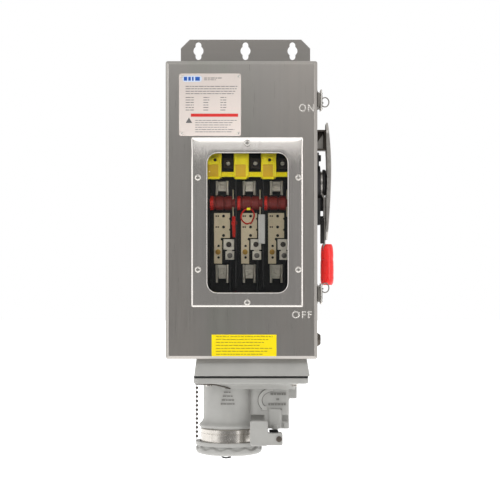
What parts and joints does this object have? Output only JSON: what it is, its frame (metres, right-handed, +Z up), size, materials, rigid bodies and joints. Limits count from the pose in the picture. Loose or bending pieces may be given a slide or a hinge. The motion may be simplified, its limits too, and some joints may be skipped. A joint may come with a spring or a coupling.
{
  "type": "fusible safety switch with viewing window and interlocked receptacle",
  "caption": "Wall-mounted stainless steel disconnect box with windowed hinged door, side handle, draw latches and a capped plug receptacle below.",
  "frame": {"origin": "centre of the enclosure's rear face, on the wall", "axes": "+Z up, +Y into the wall, -Y out through the door, +X from the hinge side to the handle side"},
  "size_m": [0.2329, 0.1833, 0.5985],
  "materials": {
    "stainless": "vertically brushed stainless steel",
    "bright_steel": "bright plated steel",
    "dark_steel": "dull dark steel",
    "polished_aluminium": "machined and polished",
    "cast_paint": "light grey paint on sand-cast aluminium",
    "black_plastic": "moulded, matte",
    "black_rubber": "matte",
    "red_grip": "glossy moulded red",
    "dark_red_plastic": "moulded, semi-matte",
    "yellow_plastic": "moulded, satin",
    "yellow_label": "printed vinyl",
    "white_plate": "printed aluminium plate",
    "tin_plate": "tin-plated copper",
    "clear_pane": "clear polycarbonate",
    "red_wire": "insulated wire",
    "green_wire": "insulated wire"
  },
  "bodies": {
    "enclosure": {"rear_panel": "stainless", "enclosure_shell": "stainless", "hinge_leaf_body": "stainless", "hinge_pin": "bright_steel", "side_plug": "dark_steel", "latch_base_upper": "bright_steel", "latch_base_lower": "bright_steel", "operator_bracket": "black_plastic", "guard_plate": "stainless", "guard_standoff": "dark_steel", "switch_base": "black_plastic", "line_shield": "yellow_plastic", "fuse_clip_upper_1": "bright_steel", "fuse_clip_lower_1": "bright_steel", "load_strap_1": "tin_plate", "load_cable_1": "black_rubber", "fuse_clip_upper_2": "bright_steel", "fuse_clip_lower_2": "bright_steel", "load_strap_2": "tin_plate", "load_cable_2": "black_rubber", "fuse_clip_upper_3": "bright_steel", "fuse_clip_lower_3": "bright_steel", "load_strap_3": "tin_plate", "load_cable_3": "black_rubber", "ground_cable": "green_wire", "indicator_lead": "red_wire", "adapter_box": "cast_paint", "receptacle_gasket": "black_rubber", "receptacle_housing": "cast_paint", "contact_insert": "black_plastic", "collar_ring": "polished_aluminium", "bead_chain": "dark_steel", "release_pin": "dark_steel"},
    "door_panel": {"door": "stainless", "hinge_leaf_door": "stainless", "door_gasket": "black_rubber", "window_frame": "stainless", "window_gasket": "black_rubber", "window_pane": "clear_pane", "window_retainer": "stainless", "rating_plate": "white_plate", "caution_label": "yellow_label", "latch_keeper_upper": "bright_steel", "latch_keeper_lower": "bright_steel"},
    "upper_lever": {"latch_lever_upper": "bright_steel"},
    "upper_bail": {"latch_bail_upper": "bright_steel"},
    "upper_ring": {"latch_ring_upper": "bright_steel"},
    "lower_lever": {"latch_lever_lower": "bright_steel"},
    "lower_bail": {"latch_bail_lower": "bright_steel"},
    "lower_ring": {"latch_ring_lower": "bright_steel"},
    "handle": {"pivot_shaft": "bright_steel", "handle_hub": "black_plastic", "handle_lever": "stainless", "pivot_nut": "bright_steel", "handle_grip": "red_grip"},
    "rotor": {"rotor": "dark_red_plastic"},
    "rod": {"interlock_rod": "bright_steel"},
    "release": {"release_lever": "cast_paint"},
    "cap": {"receptacle_cap": "cast_paint"}
  },
  "joints": [
    {"name": "door_hinge", "type": "hinge", "parent": "enclosure", "child": "door_panel", "pos_m": [-0.103, -0.163, 0], "axis": [0, 0, -1], "range_deg": [0, 135]},
    {"name": "handle_pivot", "type": "hinge", "parent": "enclosure", "child": "handle", "pos_m": [0.107, -0.075, 0.041], "axis": [-1, 0, 0], "range_deg": [0, 120]},
    {"name": "rotor_spin", "type": "hinge", "parent": "enclosure", "child": "rotor", "pos_m": [0.0065, -0.08, 0.012], "axis": [-1, 0, 0], "range_deg": [0, 60]},
    {"name": "rod_slide", "type": "slide", "parent": "enclosure", "child": "rod", "axis": [0, 0, -1], "range_m": [0, 0.008]},
    {"name": "upper_latch_lever", "type": "hinge", "parent": "enclosure", "child": "upper_lever", "pos_m": [0.1038, -0.15, 0.1498], "axis": [0, 0, -1], "range_deg": [0, 120]},
    {"name": "upper_latch_bail", "type": "hinge", "parent": "upper_lever", "child": "upper_bail", "pos_m": [0.1044, -0.142, 0.1498], "axis": [0, 0, -1], "range_deg": [-120, 0]},
    {"name": "upper_latch_ring", "type": "hinge", "parent": "upper_lever", "child": "upper_ring", "pos_m": [0.1069, -0.1195, 0.1498], "axis": [0, 0, 1], "range_deg": [-50, 50]},
    {"name": "lower_latch_lever", "type": "hinge", "parent": "enclosure", "child": "lower_lever", "pos_m": [0.1038, -0.15, -0.114], "axis": [0, 0, -1], "range_deg": [0, 120]},
    {"name": "lower_latch_bail", "type": "hinge", "parent": "lower_lever", "child": "lower_bail", "pos_m": [0.1044, -0.142, -0.114], "axis": [0, 0, -1], "range_deg": [-120, 0]},
    {"name": "lower_latch_ring", "type": "hinge", "parent": "lower_lever", "child": "lower_ring", "pos_m": [0.1069, -0.1195, -0.108], "axis": [0, 0, 1], "range_deg": [-50, 50]},
    {"name": "release_lever_pivot", "type": "hinge", "parent": "enclosure", "child": "release", "pos_m": [0.0475, -0.14, -0.3139], "axis": [0, -1, 0], "range_deg": [0, 20], "stiffness_Nm_per_rad": 1.5, "springref_deg": -5.73},
    {"name": "cap_slide", "type": "slide", "parent": "enclosure", "child": "cap", "axis": [0, 0, -1], "range_m": [0, 0.028]}
  ],
  "couplings": [
    {"joint": "rotor_spin", "follows": "handle_pivot", "ratio": 0.5},
    {"joint": "rod_slide", "follows": "handle_pivot", "m_per_rad": 0.0035},
    {"joint": "upper_latch_bail", "follows": "upper_latch_lever", "ratio": -1},
    {"joint": "lower_latch_bail", "follows": "lower_latch_lever", "ratio": -1}
  ]
}
